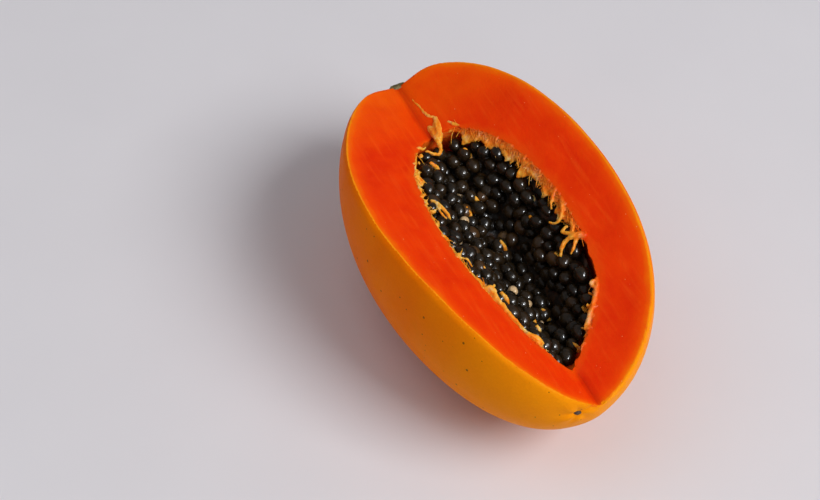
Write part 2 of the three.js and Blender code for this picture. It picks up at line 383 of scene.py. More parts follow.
# %% Sort the faces and measure the depths
def measure(points):
    """Along, depth under the skin, distance to the hollow and height over the cut, for each point."""
    x, y, z = points.T
    u = np.clip(2 * x / LENGTH, -0.9995, 0.9995)
    off = y - sway(u)
    radius = np.hypot(off, z)
    angle = np.arctan2(z, off)
    slope = (skin_radius(u + 1e-4, angle) - skin_radius(u - 1e-4, angle)) / (1e-4 * LENGTH)
    under_skin = (skin_radius(u, angle) - radius) / np.hypot(1, slope)
    v = np.clip((x - HOLLOW_MIDDLE) / HOLLOW_HALF, -1, 1)
    off_hollow = y - hollow_axis(x)
    from_axis = np.hypot(off_hollow, z)
    past_end = HOLLOW_HALF * np.maximum(np.abs((x - HOLLOW_MIDDLE) / HOLLOW_HALF) - 1, 0)
    to_hollow = np.hypot(from_axis - hollow_radius(v, np.arctan2(z, off_hollow)), past_end)
    over_cut = z - cut_height(x, y) - knife_ripple(x, y)
    return u, under_skin, to_hollow, over_cut


def store(piece, name, values):
    """Keeps one number for each point under a name that a finish can read."""
    layer = piece.data.attributes.new(name, "FLOAT", "POINT")
    layer.data.foreach_set("value", np.ascontiguousarray(values, dtype=np.float32))


SKIN, FLESH, WALL = 0, 1, 2
CUT_NEAR, SLIT_NEAR, WALL_NEAR = 0.06, 1.0, 3.0
SLIT_UNDER, WALL_UNDER, UPRIGHT = 0.4, 3.0, 0.7
centres = np.array([face.center for face in fruit.data.polygons])
_, face_depth, face_hollow, face_over = measure(centres)
facing_up = np.array([face.normal.z for face in fruit.data.polygons]) > UPRIGHT
past_hollow = beyond_hollow(centres[:, 0]) > 0.5
in_slit = past_hollow & (face_depth > SLIT_UNDER) & (np.abs(face_over) < SLIT_NEAR)
on_cut = (np.abs(face_over) < CUT_NEAR) & facing_up
on_wall = (face_hollow < WALL_NEAR) & (face_depth > WALL_UNDER)
finish_of_face = np.where(on_cut | in_slit, FLESH, np.where(on_wall, WALL, SKIN))
half_points = read_points(fruit)
half_along, half_depth, half_hollow, half_over = measure(half_points)
store(fruit, "along", half_along)
store(fruit, "under_skin", np.maximum(half_depth, 0))
store(fruit, "to_hollow", half_hollow)
store(fruit, "under_cut", np.maximum(-half_over, 0))
half_x, half_y, _ = half_points.T
store(fruit, "slit", np.exp(-(crease_gap(half_x, half_y) / 1.5) ** 2) * beyond_hollow(half_x))
print("skin, flesh, wall faces:", np.bincount(finish_of_face))

# %% [markdown]
# ## Helpers for the finishes
# A finish is a small graph of nodes. These helpers add a node, link what comes in, and give back what
# comes out, so that each finish below reads as a recipe. Sizes are in millimetres on the real fruit.

# %% Helpers to build a finish
in_work = {}


def new_finish(name):
    """Starts a finish. The helpers below add their nodes to the one started last."""
    finish = bpy.data.materials.new(name)
    finish.use_nodes = True
    in_work["tree"] = finish.node_tree
    return finish, finish.node_tree.nodes["Principled BSDF"]


def node(kind):
    return in_work["tree"].nodes.new("ShaderNode" + kind)


def feed(socket, value):
    """Links a socket to another node's output, or sets it to a plain value."""
    if isinstance(value, bpy.types.NodeSocket):
        in_work["tree"].links.new(value, socket)
    else:
        socket.default_value = value


def attribute(name):
    reader = node("Attribute")
    reader.attribute_name = name
    return reader.outputs["Fac"]


def cloud(size_mm, detail=3.0, stretch=(1, 1, 1)):
    """Noise from 0 to 1 with spots of about the given size."""
    place = node("TexCoord")
    scale = node("Mapping")
    scale.inputs["Scale"].default_value = stretch
    texture = node("TexNoise")
    texture.inputs["Scale"].default_value = 1000 / size_mm
    texture.inputs["Detail"].default_value = detail
    feed(scale.inputs["Vector"], place.outputs["Object"])
    feed(texture.inputs["Vector"], scale.outputs["Vector"])
    return texture.outputs["Fac"]


def span(value, low, high, to_low=0.0, to_high=1.0):
    """Takes the range from low to high to another range, and stops at its ends."""
    stretcher = node("MapRange")
    feed(stretcher.inputs["Value"], value)
    ends = {"From Min": low, "From Max": high, "To Min": to_low, "To Max": to_high}
    for socket, number in ends.items():
        stretcher.inputs[socket].default_value = number
    return stretcher.outputs["Result"]


def combine(operation, first, second):
    maths = node("Math")
    maths.operation = operation
    feed(maths.inputs[0], first)
    feed(maths.inputs[1], second)
    return maths.outputs["Value"]


def mixed(share, first, second):
    """Goes from the first colour to the second as share goes from 0 to 1."""
    mixer = node("Mix")
    mixer.data_type = "RGBA"
    feed(mixer.inputs["Factor"], share)
    for socket, colour in (("A", first), ("B", second)):
        linked = isinstance(colour, bpy.types.NodeSocket)
        feed(mixer.inputs[socket], colour if linked else (*colour, 1))
    return mixer.outputs["Result"]


def ramp(value, stops):
    """Colours along a value, each stop a place and a colour."""
    band = node("ValToRGB")
    while len(band.color_ramp.elements) < len(stops):
        band.color_ramp.elements.new(0.5)
    for element, (place, colour) in zip(band.color_ramp.elements, stops):
        element.position = place
        element.color = (*colour, 1)
    feed(band.inputs["Fac"], value)
    return band.outputs["Color"]


def dots(cell_mm, dot_mm, share):
    """A mask of small round dots, one in some of the cells."""
    place = node("TexCoord")
    cells = node("TexVoronoi")
    cells.inputs["Scale"].default_value = 1000 / cell_mm
    feed(cells.inputs["Vector"], place.outputs["Object"])
    spot = span(cells.outputs["Distance"], 0.6 * dot_mm / cell_mm, dot_mm / cell_mm, 1, 0)
    chosen = combine("LESS_THAN", cells.outputs["Color"], share)
    return combine("MULTIPLY", spot, chosen)


def let_light_in(shader, weight, radius, depth_mm):
    """Lets light scatter a little way under the surface."""
    shader.inputs["Subsurface Weight"].default_value = weight
    shader.inputs["Subsurface Radius"].default_value = radius
    shader.inputs["Subsurface Scale"].default_value = depth_mm / 1000


def roughen(shader, height, depth_mm):
    """A fine relief in the shader's normal."""
    relief = node("Bump")
    relief.inputs["Distance"].default_value = depth_mm / 1000
    feed(relief.inputs["Height"], height)
    feed(shader.inputs["Normal"], relief.outputs["Normal"])


print("helpers for finishes are ready")

# %% [markdown]
# ## The skin
# Ripe papaya skin is a waxy orange that turns yellow at the tip, with soft clouds of deeper orange,
# tiny pores and a scatter of dark green-brown specks. Near the stalk it stays green-brown.

# %% Skin finish
def skin_finish():
    finish, shader = new_finish("papaya_skin")
    clouds = mixed(span(cloud(34), 0.35, 0.68), (0.94, 0.155, 0.0), (1.0, 0.21, 0.0))
    tip = span(attribute("along"), 0.15, 0.95)
    warm = mixed(combine("MULTIPLY", tip, 0.75), clouds, (1.0, 0.36, 0.003))
    green = span(cloud(22, 4), 0.62, 0.78, 0, 0.35)
    warm = mixed(green, warm, (0.70, 0.20, 0.0))
    pores = cloud(0.9, 2)
    warm = mixed(span(pores, 0.3, 0.75, 0.12, 0), warm, (0.6, 0.09, 0.0))
    specks = combine("MAXIMUM", dots(6.0, 0.62, 0.5), dots(3.4, 0.34, 0.5))
    warm = mixed(combine("MULTIPLY", specks, 0.85), warm, (0.09, 0.05, 0.004))
    stalk = span(attribute("along"), -0.998, -0.955, 1, 0)
    warm = mixed(stalk, warm, (0.22, 0.16, 0.03))
    feed(shader.inputs["Base Color"], warm)
    feed(shader.inputs["Roughness"], span(cloud(6), 0.3, 0.7, 0.36, 0.5))
    shader.inputs["Specular IOR Level"].default_value = 0.02
    let_light_in(shader, 0.12, (1.0, 0.4, 0.1), 3)
    roughen(shader, combine("ADD", pores, cloud(5)), 0.1)
    return finish


fruit.data.materials.clear()
fruit.data.materials.append(skin_finish())
print("finishes on the half:", len(fruit.data.materials))

# %% [markdown]
# ## The flesh
# The cut flesh is a saturated red-orange. Just under the skin it is yellow, then bright orange for a
# few millimetres, and it pales again at the hollow. Fine grain, faint lines along the fruit and tiny
# pale flecks break up the colour, and a little light scatters inside it. The slit along the crease is
# painted dark red as shade.

# %% Flesh finish
def flesh_finish():
    finish, shader = new_finish("papaya_flesh")
    body = mixed(span(cloud(26), 0.3, 0.7), (0.88, 0.040, 0.0), (0.78, 0.024, 0.0))
    body = mixed(span(cloud(7, 4), 0.42, 0.7, 0, 0.4), body, (0.95, 0.062, 0.0))
    wander = span(cloud(9), 0.2, 0.8, -1.2, 1.2)
    depth = combine("ADD", attribute("under_skin"), wander)
    band = ramp(span(depth, 0, 9), (
        (0.0, (1.0, 0.24, 0.001)), (0.14, (0.97, 0.15, 0.0)),
        (0.4, (0.93, 0.07, 0.0)), (1.0, (0.88, 0.04, 0.0))))
    body = mixed(span(depth, 3, 9, 1, 0), body, band)
    edge = span(attribute("under_skin"), 0.1, 1.3, 0.8, 0)
    body = mixed(edge, body, (1.0, 0.34, 0.006))
    patchy = span(cloud(5), 0.2, 0.8, -1.5, 1.5)
    near = combine("ADD", attribute("to_hollow"), patchy)
    body = mixed(span(near, 0, 4.5, 0.7, 0), body, (0.88, 0.085, 0.001))
    lines = cloud(2.2, 4, (0.12, 1, 1))
    body = mixed(span(lines, 0.52, 0.72, 0, 0.5), body, (0.92, 0.08, 0.004))
    stem = span(attribute("along"), -0.9, -0.5, 0.8, 0)
    body = mixed(combine("MULTIPLY", stem, cloud(12)), body, (1.0, 0.16, 0.0))
    flecks = combine("MAXIMUM", dots(4.2, 0.22, 0.5), dots(2.9, 0.13, 0.5))
    body = mixed(combine("MULTIPLY", flecks, 0.75), body, (1.0, 0.42, 0.18))
    # Painted shade: the flesh in the slit along the crease is darkened.
    body = mixed(combine("MULTIPLY", attribute("slit"), 0.6), body, (0.46, 0.012, 0.0))
    feed(shader.inputs["Base Color"], body)
    feed(shader.inputs["Roughness"], span(cloud(3), 0.3, 0.7, 0.45, 0.6))
    shader.inputs["Specular IOR Level"].default_value = 0.05
    let_light_in(shader, 0.2, (1.0, 0.25, 0.08), 5)
    roughen(shader, combine("ADD", cloud(0.8, 3), cloud(4)), 0.12)
    return finish


fruit.data.materials.append(flesh_finish())
print("finishes on the half:", len(fruit.data.materials))

# %% [markdown]
# ## The wall of the hollow
# The wall is paler than the flesh where strands tore off it, near the rim. Further down it is painted
# a darker red, as shade in the depth of the hollow.

# %% Wall finish
def wall_finish():
    finish, shader = new_finish("papaya_hollow_wall")
    torn = mixed(span(cloud(2.4, 4), 0.38, 0.66), (0.75, 0.07, 0.001), (0.85, 0.18, 0.01))
    # Painted shade: the wall turns darker red with depth below the cut.
    deep = span(attribute("under_cut"), 2.0, 9.0)
    feed(shader.inputs["Base Color"], mixed(deep, torn, (0.45, 0.015, 0.0)))
    shader.inputs["Roughness"].default_value = 0.36
    shader.inputs["Specular IOR Level"].default_value = 0.2
    let_light_in(shader, 0.25, (1.0, 0.3, 0.08), 4)
    roughen(shader, cloud(1.2, 4), 0.3)
    return finish


fruit.data.materials.append(wall_finish())
fruit.data.polygons.foreach_set("material_index", finish_of_face.astype(np.int32))
print("finishes on the half:", len(fruit.data.materials))

# %% [markdown]
# ## Rounding the hollow's rim and laying the half down
# The rim of the hollow is soft, so its points are smoothed a little. At the other edge of the cut the
# skin and the flesh next to it draw in together, which rounds the shoulder. Then the half is laid down,
# and the skin that would sink into the ground is pressed flat.

# %% Soften the rim, lay the half down and press its back flat
def corners_of(piece):
    """The points of every face corner, and the face that each corner belongs to."""
    corners = np.empty(len(piece.data.loops), dtype=np.int32)
    piece.data.loops.foreach_get("vertex_index", corners)
    totals = np.empty(faces_of(piece), dtype=np.int32)
    piece.data.polygons.foreach_get("loop_total", totals)
    return corners, np.repeat(np.arange(faces_of(piece)), totals)


SHOULDER_HIGH, SHOULDER_DEEP, SHOULDER_IN = 2.6, 3.0, 0.7
corners, owners = corners_of(fruit)
touches = np.zeros((len(fruit.data.vertices), 3), dtype=bool)
touches[corners, finish_of_face[owners]] = True
on_rim = touches[:, FLESH] & touches[:, WALL]
fruit.data.vertices.foreach_set("select", on_rim)
select_only(fruit)
bpy.ops.object.mode_set(mode="EDIT")
bpy.ops.mesh.vertices_smooth(factor=0.5, repeat=2)
bpy.ops.object.mode_set(mode="OBJECT")
bpy.ops.object.shade_smooth_by_angle(angle=math.radians(50))
shoulder = np.clip(1 + half_over / SHOULDER_HIGH, 0, 1) ** 2
shoulder *= np.clip(1 - half_depth / SHOULDER_DEEP, 0, 1) ** 2
rounded = read_points(fruit)
from_axis = np.maximum(np.hypot(rounded[:, 1], rounded[:, 2]), 5)
rounded[:, 1:] *= (1 - SHOULDER_IN * shoulder / from_axis)[:, None]
write_points(fruit, rounded)
lay_down(fruit)
pressed = read_points(fruit)
pressed[:, 2] = np.maximum(pressed[:, 2], 0)
write_points(fruit, pressed)
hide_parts("fruit_half")
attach(fruit, "root")
print("rim points:", int(on_rim.sum()))

# %% [markdown]
# ## Where the seeds sit
# The seeds hang on the wall in layers and leave a valley that is deepest to the right of the middle.
# Rows of seeds are laid across the valley, each is shaken by a repeatable scatter, and then all of them
# push their neighbours away until they lie side by side. A second layer below fills the gaps.

# %% Lay out the seeds
VALLEY_TOP, VALLEY_DEPTH, VALLEY_MIDDLE = 2.0, 19.0, 0.64
SEED_FIRST, SEED_LAST = -0.92, 0.84
UNDER_FIRST = 1000
SEED_SHORT, SEED_APART, SEED_GAP = 2.6, 5.3, 0.45
SEED_PITCH, SEED_ROW, LAYER_DROP = 6.1, 5.4, 4.3
SEED_SHAKE = (3.4, 3.4, 3.0)
TISSUE_SPAN, TISSUE_REACH, TISSUE_TAKES = (-46, 14), 4.6, 0.75
CLEFT_SPAN, CLEFT_WIDE, CLEFT_TAKES = (-18, 42), 0.13, 0.7


def scatter(index, channel):
    """A repeatable value from 0 to 1."""
    value = math.sin(index * 127.1 + channel * 311.7) * 43758.5453
    return value - math.floor(value)


def seed_size(index):
    return 0.88 + 0.3 * scatter(index, 4)


def valley_height(x, y):
    """Height of the top layer's middles."""
    v = (x - HOLLOW_MIDDLE) / HOLLOW_HALF
    left, right = np.interp(x, STATIONS, LEFT_RIM), np.interp(x, STATIONS, RIGHT_RIM)
    bottom = left + (right - left) * VALLEY_MIDDLE
    side = left if y < bottom else right
    away = min(abs(y - bottom) / max(abs(side - bottom), 1), 1)
    deep = VALLEY_DEPTH * max(1 - v * v, 0) * (1 - away ** 0.95)
    ends = 30 * max(v - 0.8, 0) + 8 * max(-0.8 - v, 0)
    return float(cut_height(x, y)) - VALLEY_TOP - deep - ends


def row_of_seeds(x, lean, drop):
    """Evenly spaced places across the valley at one station."""
    start = np.interp(x, STATIONS, LEFT_RIM) + SEED_SHORT
    stop = np.interp(x, STATIONS, RIGHT_RIM) - SEED_SHORT
    line = np.array([(x, y, valley_height(x, y) - drop) for y in np.linspace(start, stop, 41)])
    travelled = np.concatenate(([0], np.cumsum(np.linalg.norm(np.diff(line, axis=0), axis=1))))
    count = max(1, round(travelled[-1] / SEED_PITCH))
    places = (np.arange(count) + 0.5 + lean) / count * travelled[-1]
    return np.column_stack([np.interp(places, travelled, line[:, axis]) for axis in range(3)])


def push_apart(seeds, sizes):
    for i in range(len(seeds)):
        clear = SEED_APART * (sizes + sizes[i]) / 2
        lengths = np.linalg.norm(seeds[i + 1:] - seeds[i], axis=1)
        for j in np.nonzero(lengths < clear[i + 1:])[0] + i + 1:
            gap = seeds[j] - seeds[i]
            length = float(np.linalg.norm(gap))
            if 0.01 < length < clear[j]:
                shift = gap * 0.25 * (clear[j] - length) / length
                seeds[i] -= shift
                seeds[j] += shift


def keep_inside(seed, drop):
    v = min(max((seed[0] - HOLLOW_MIDDLE) / HOLLOW_HALF, SEED_FIRST), SEED_LAST)
    seed[0] = HOLLOW_MIDDLE + v * HOLLOW_HALF
    axis = float(hollow_axis(seed[0]))
    off = seed[1] - axis
    limit = float(hollow_radius(v, math.atan2(seed[2], off))) - SEED_SHORT - SEED_GAP
    reach = math.hypot(off, seed[2])
    if reach > limit:
        seed[1] = axis + off * limit / reach
        seed[2] *= limit / reach
    height = valley_height(seed[0], seed[1]) - drop
    seed[2] = min(max(seed[2], height - 1.2), height + 1.0)


def seed_layer(drop, lean, first_index, rounds):
    first, last = HOLLOW_MIDDLE + SEED_FIRST * HOLLOW_HALF, HOLLOW_MIDDLE + SEED_LAST * HOLLOW_HALF
    rows = round((last - first) / SEED_ROW)
    seeds = []
    for row in range(rows + 1):
        x = first + (last - first) * row / rows
        for place in row_of_seeds(x, lean if row % 2 else -lean, drop):
            index = first_index + len(seeds)
            shake = np.array([scatter(index, channel) - 0.5 for channel in (1, 2, 3)])
            seeds.append(place + shake * SEED_SHAKE)
    seeds = np.array(seeds)
    sizes = np.array([seed_size(first_index + index) for index in range(len(seeds))])
    for _ in range(rounds):
        push_apart(seeds, sizes)
        for seed in seeds:
            keep_inside(seed, drop)
    return seeds


def left_out(seed, index):
    """Whether the tissue on the upper right took a seed's place, or the seed is left out of the cleft so
    that the dark bed shows there as painted shade.
    """
    x, y, _ = seed
    left, right = np.interp(x, STATIONS, LEFT_RIM), np.interp(x, STATIONS, RIGHT_RIM)
    under_tissue = right - y < TISSUE_REACH and TISSUE_SPAN[0] < x < TISSUE_SPAN[1]
    from_cleft = abs((y - left) / (right - left) - VALLEY_MIDDLE)
    in_cleft = from_cleft < CLEFT_WIDE and CLEFT_SPAN[0] < x < CLEFT_SPAN[1]
    taken = under_tissue and scatter(index, 60) < TISSUE_TAKES
    return taken or (in_cleft and scatter(index, 61) < CLEFT_TAKES)


top_seeds = seed_layer(drop=0.0, lean=0.22, first_index=0, rounds=40)
under_seeds = seed_layer(drop=LAYER_DROP, lean=-0.24, first_index=UNDER_FIRST, rounds=12)
print("seeds on top and below:", len(top_seeds), len(under_seeds))

# %% [markdown]
# ## One seed, then all of them
# A papaya seed is a small egg in a wet, see-through coat. With hundreds of them, one seed may have only
# a few dozen faces: an icosphere, drawn out and narrowed to one end. Each copy keeps its own tone, so
# that some come out brown and a few stay small and pale.

# %% Model one seed and copy it
SEED_RADII = (2.8, 2.65, 3.3)
HALF_TURN = 3.14
PALE_FROM, PALE_SIZE = 0.965, 0.6


def model_seed():
    deselect()
    bpy.ops.mesh.primitive_ico_sphere_add(subdivisions=2, radius=1)
    piece = added("seed")
    points = read_points(piece)
    narrow = 1 - 0.13 * points[:, 2] - 0.05 * points[:, 2] ** 2
    shaped = points * SEED_RADII
    shaped[:, :2] *= narrow[:, None]
    write_points(piece, shaped)
    bpy.ops.object.shade_smooth()
    return piece


def seed_copy(model, centre, index):
    """A copy at its place, with its own turn, size and tone."""
    tone = scatter(index, 8)
    pale = tone > PALE_FROM
    size = seed_size(index) * (PALE_SIZE if pale else 1.0)
    tumble = Matrix.Rotation(HALF_TURN * scatter(index, 5), 4, "X")
    turn = tumble @ Matrix.Rotation(HALF_TURN * scatter(index, 6), 4, "Y")
    lift = Vector((0, 0, 1.6 if pale else 1.8 * (scatter(index, 9) - 0.5)))
    copy = model.copy()
    copy.data = model.data.copy()
    copy.data.transform(Matrix.Translation(Vector(centre) + lift) @ turn @ Matrix.Scale(size, 4))
    bpy.context.collection.objects.link(copy)
    store(copy, "tone", np.full(len(copy.data.vertices), tone))
    return copy


def join(name, pieces):
    deselect()
    for piece in pieces:
        piece.select_set(True)
    bpy.context.view_layer.objects.active = pieces[0]
    bpy.ops.object.join()
    pieces[0].name = name
    return pieces[0]


seed_model = model_seed()
kept_seeds = [item for item in enumerate(top_seeds) if not left_out(item[1], item[0])]
numbered = kept_seeds + list(enumerate(under_seeds, UNDER_FIRST))
copies = [seed_copy(seed_model, centre, index) for index, centre in numbered]
bpy.data.objects.remove(seed_model, do_unlink=True)
seeds = join("seeds", copies)
print("seeds:", len(copies), "with", faces_of(seeds), "faces")

# %% [markdown]
# ## The seeds' finish
# The seeds are nearly black, with a brown cast where their coat is thin, and the coat is wet, so the
# shader gets a clear coat over a rougher base. The tone that each copy carries picks its colour.

# %% Seed finish
def seed_finish():
    finish, shader = new_finish("wet_papaya_seed")
    tone = attribute("tone")
    body = ramp(tone, (
        (0.0, (0.005, 0.003, 0.001)), (0.6, (0.013, 0.007, 0.002)), (0.88, (0.026, 0.013, 0.004)),
        (0.94, (0.06, 0.026, 0.007)), (0.96, (0.11, 0.05, 0.014)), (0.97, (0.75, 0.5, 0.26))))
    veins = span(cloud(1.1, 4), 0.42, 0.7)
    body = mixed(combine("MULTIPLY", veins, 0.3), body, (0.06, 0.033, 0.011))
    feed(shader.inputs["Base Color"], body)
    feed(shader.inputs["Roughness"], span(cloud(2), 0.3, 0.7, 0.35, 0.55))
    shader.inputs["Specular IOR Level"].default_value = 0.1
    shader.inputs["Coat Weight"].default_value = 0.6
    shader.inputs["Coat Roughness"].default_value = 0.1
    roughen(shader, cloud(1.3, 3), 0.35)
    return finish


seeds.data.materials.append(seed_finish())
lay_down(seeds)
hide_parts("seed_mass")
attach(seeds, "root")
print("finish of the seeds:", seeds.data.materials[0].name)

# %% [markdown]
# ## The bed under the seeds
# Between the lowest seeds there is a near-black bed: it is dark pulp, and it also paints the shade of
# the deep cleft. It is the bottom of the hollow's egg, a hair smaller than the hollow, with everything
# above the lower seeds taken off by the same kind of block as the knife's.

# %% Make the dark bed
BED_INSET, BED_DROP = 1.6, 5.5
bed, along, around = ball("seed_bed", segments=90, rings=70)
write_points(bed, hollow_points(along, around, BED_INSET))


def bed_height(x, y):
    return np.array([valley_height(a, b) for a, b in zip(x, y)]) - BED_DROP


cut_away(bed, sheet_block("bed_block", 60, 48, bed_height, lift=120))


def bed_finish():
    finish, shader = new_finish("dark_pulp_and_painted_shade")
    # Partly painted shade: the near-black pulp colour also stands for the shade in the deep cleft.
    body = mixed(span(cloud(3.0, 4), 0.5, 0.75), (0.012, 0.008, 0.005), (0.09, 0.03, 0.008))
    feed(shader.inputs["Base Color"], body)
    feed(shader.inputs["Roughness"], span(cloud(2), 0.3, 0.7, 0.3, 0.6))
    roughen(shader, cloud(2.0, 4), 0.5)
    return finish


bed.data.materials.clear()
bed.data.materials.append(bed_finish())
select_only(bed)
bpy.ops.object.shade_smooth()
lay_down(bed)
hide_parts("seed_mass")
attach(bed, "root")
print("bed:", faces_of(bed), "faces")

# %% [markdown]
# ## The torn strands
# The seeds hung on strands, and the knife tore them. They stand along both rims as short curled tufts,
# with a few longer ones. A path with a round section and a radius at each point is how one would draw
# such a strand by hand. All the paths are in one curve object, which becomes a mesh later.

# %% Draw the tufts as paths
def new_paths(name, thick):
    deselect()
    bpy.ops.curve.primitive_nurbs_path_add()
    piece = added(name)
    piece.data.splines.clear()
    piece.data.bevel_depth = thick
    piece.data.bevel_resolution = 1
    piece.data.resolution_u = 4
    piece.data.use_fill_caps = True
    return piece


def draw_path(paths, points, radii):
    spline = paths.data.splines.new("NURBS")
    spline.points.add(len(points) - 1)
    for control, place, radius in zip(spline.points, points, radii):
        control.co = (*place, 1)
        control.radius = radius
    spline.order_u = 3
    spline.use_endpoint_u = True


def over_cut(x, y, rise):
    """A point given along, across, and above the cut."""
    return (x, y, float(cut_height(x, y)) + rise)


def rim_at(x, side):
    return float(np.interp(x, STATIONS, RIGHT_RIM if side > 0 else LEFT_RIM))


def along_rim(share):
    """A station along the hollow, from its stem end (0) to its point (1)."""
    return HOLLOW_MIDDLE + HOLLOW_HALF * (-0.9 + 1.78 * share)


BARE_WALL = (25, 42)


def on_bare_wall(x, side):
    """Whether a place is on the right between the fork and the strip, where nothing hangs."""
    return side > 0 and BARE_WALL[0] < x < BARE_WALL[1]


def draw_tuft(paths, index, side, count):
    """One torn tuft: rooted in the flesh, over the rim, trailing along it above the seeds."""
    pick = [scatter(index + 400 * (side + 1), channel) for channel in range(30, 40)]
    x = along_rim((index + 1.6 * pick[0] - 0.3) / count)
    if on_bare_wall(x, side):
        return
    y = rim_at(x, side)
    reach = 1.2 + 4.6 * pick[1] ** 2
    lean = 6.0 * (pick[2] - 0.5)
    curl = 3.4 * (pick[3] - 0.5)
    drop = 0.4 + 2.4 * pick[4]
    points = [
        over_cut(x - 0.3 * lean, y + side * 1.4, -1.4),
        over_cut(x, y + side * 0.2, -0.1 + 0.4 * pick[5]),
        over_cut(x + 0.4 * lean, y - side * 0.45 * reach, 0.3 - 0.4 * drop),
        over_cut(x + 0.8 * lean + curl, y - side * 0.8 * reach, -drop + 0.8 * pick[6]),
        over_cut(x + lean + 1.6 * curl, y - side * 0.95 * reach, -drop + 1.2 * pick[7]),
    ]
    thick = 0.4 + 0.6 * pick[8] ** 2
    knob = 1.3 if pick[9] > 0.75 else 0.5
    draw_path(paths, points, [1.5 * thick, 1.3 * thick, 0.9 * thick, 0.75 * thick, knob * thick])


TUFTS = {-1: 24, 1: 52}
strands = new_paths("placenta_strands", 0.75)
for side, count in TUFTS.items():
    for index in range(count):
        draw_tuft(strands, index, side, count)
print("tufts:", len(strands.data.splines))

# %% [markdown]
# ## The long strands
# The longer strands are drawn one by one, where they lie on the real fruit: a hook at the stem end, a
# fork on the right, and strips that lie along the rims. Each is a row of places: along, across, above
# the cut, and the thickness there. Short bits also stick out between some of the seeds.

# %% Draw the long strands
BITS_FROM = 0.9
LONG_STRANDS = {
    "hook": ((-58, 2.8, -1.6, 2.4), (-53, 2.2, -0.2, 2.0), (-48, 1.7, 0.9, 1.4), (-44, 1.2, 0.6, 1.15),
        (-42.3, -0.8, 0.3, 1.1), (-43.2, -3.6, 0.5, 1.0), (-44.6, -5.6, 0.9, 0.8)),
    "hook_root": ((-62, 6.5, -1.6, 1.8), (-57, 5.6, -0.7, 2.6), (-52, 4.0, -0.3, 2.6),
        (-47.5, 2.0, 0.2, 1.2)),
    "stem_vein_a": ((-77, 2.6, -0.8, 0.7), (-70, 3.2, -0.35, 0.9), (-63, 3.8, -0.3, 1.0),
        (-60, 5.6, -0.3, 1.0), (-59, 8.5, -0.8, 0.7)),
    "stem_vein_b": ((-56, 9.0, -0.9, 1.0), (-53.5, 9.6, -0.3, 1.2), (-51.5, 11.0, -0.2, 1.2),
        (-49, 13.0, -0.8, 0.9)),
    "fork": ((23.4, 28.4, -1.0, 2.4), (22.3, 26.2, 0.4, 1.9), (21.2, 23.2, 0.2, 1.5),
        (21.0, 20.8, -0.9, 1.3), (22.4, 18.6, -2.4, 1.2), (24.2, 17.6, -3.6, 0.8)),
    "fork_side": ((21.8, 25.2, 0.2, 1.2), (19.4, 23.6, 0.3, 1.2), (17.4, 21.6, -0.6, 1.0),
        (16.2, 22.6, 0.0, 0.9), (16.6, 24.6, 0.3, 0.8)),
    "fork_curl": ((20.6, 24.4, 0.4, 1.0), (18.2, 25.6, 0.9, 1.1), (16.0, 26.0, 0.4, 1.0),
        (14.4, 27.0, -0.6, 0.9)),
    "fork_low": ((22.5, 25.0, -0.4, 1.2), (25.0, 22.8, -1.0, 1.0), (26.4, 20.6, -2.2, 0.7)),
    "right_loop": ((3, 29, -1, 1.5), (6.2, 27.3, 0.3, 1.3), (9.2, 26.0, 0.2, 1.1),
        (11.6, 24.0, -1.0, 1.0), (11.4, 21.6, -2.0, 1.0), (9.0, 20.6, -2.6, 0.8)),
    "right_loop_fine": ((-2, 29.4, -0.8, 1.0), (0.6, 26.8, 0.2, 0.9), (2.8, 24.4, -0.8, 0.8),
        (5.4, 23.6, -1.6, 0.7)),
    "left_strip": ((30.5, -17.0, 0.7, 1.6), (32.6, -15.5, 1.2, 2.3), (34.8, -16.4, 0.6, 1.6),
        (40, -15.8, 0.3, 1.4), (47, -14.3, 0.2, 1.3), (53, -12.5, -0.4, 0.9)),
    "left_knob": ((53.5, -13.0, -0.6, 1.6), (56, -10.8, 0.7, 1.7), (57.6, -9.2, 0.2, 1.9),
        (58.6, -8.4, -0.8, 1.2)),
    "right_strip": ((42, 23.0, -0.8, 1.3), (44.4, 21.6, 0.3, 1.6), (47.0, 19.8, 0.2, 1.3),
        (50, 17.4, 0.1, 1.4), (54, 13.6, 0.0, 1.3), (58, 9.2, -0.6, 0.8)),
    "right_ring": ((43.8, 22.6, 0.0, 0.8), (42.4, 20.8, 0.8, 0.9), (43.2, 19.2, 0.9, 0.9),
        (45.2, 19.6, 0.5, 0.7)),
    "left_loop": ((13.4, -20.8, -0.9, 0.8), (14.6, -18.8, 0.5, 0.7), (16.8, -17.2, 0.9, 0.65),
        (19.5, -17.6, 0.1, 0.6)),
    "left_band": ((-18, -16.4, -0.6, 0.9), (-15.4, -14.8, 0.5, 1.3), (-12.5, -14.4, 0.9, 0.9),
        (-9.8, -13.2, 0.2, 1.2), (-6.8, -13.4, -0.6, 0.6)),
    "left_band_side": ((-14.6, -15.6, -0.4, 0.7), (-12.2, -15.8, 0.5, 0.8), (-9.4, -16.0, 0.3, 0.8),
        (-7.6, -14.6, -0.5, 0.6)),
}
for places in LONG_STRANDS.values():
    thicknesses = [place[3] for place in places]
    draw_path(strands, [over_cut(*place[:3]) for place in places], thicknesses)
for index, centre in kept_seeds:
    if scatter(index, 41) > BITS_FROM:
        shift = [2.5 * (scatter(index, channel) - 0.5) for channel in (42, 43)]
        tip = [centre[0] + shift[0], centre[1] + shift[1], centre[2] + 2.4]
        root = [centre[0] + 2.6, centre[1] + 1.4, centre[2] - 1.5]
        middle = [(a + b) / 2 + 0.8 for a, b in zip(tip, root)]
        draw_path(strands, [root, middle, tip], (1.5, 1.4, 0.9))
select_only(strands)
print("strands:", len(strands.data.splines))
bpy.ops.object.convert(target="MESH")

# %% [markdown]
# ## The frill at the rims
# Between the strands a ragged skin of the same tissue hangs from the rim over the outer seeds, widest
# on the upper right. A grid is bent along the rim, noise tears its inner edge, and Solidify gives it
# body.

# %% Hang the frills
FRILL_CELL, FRILL_THICK = 0.55, 1.2


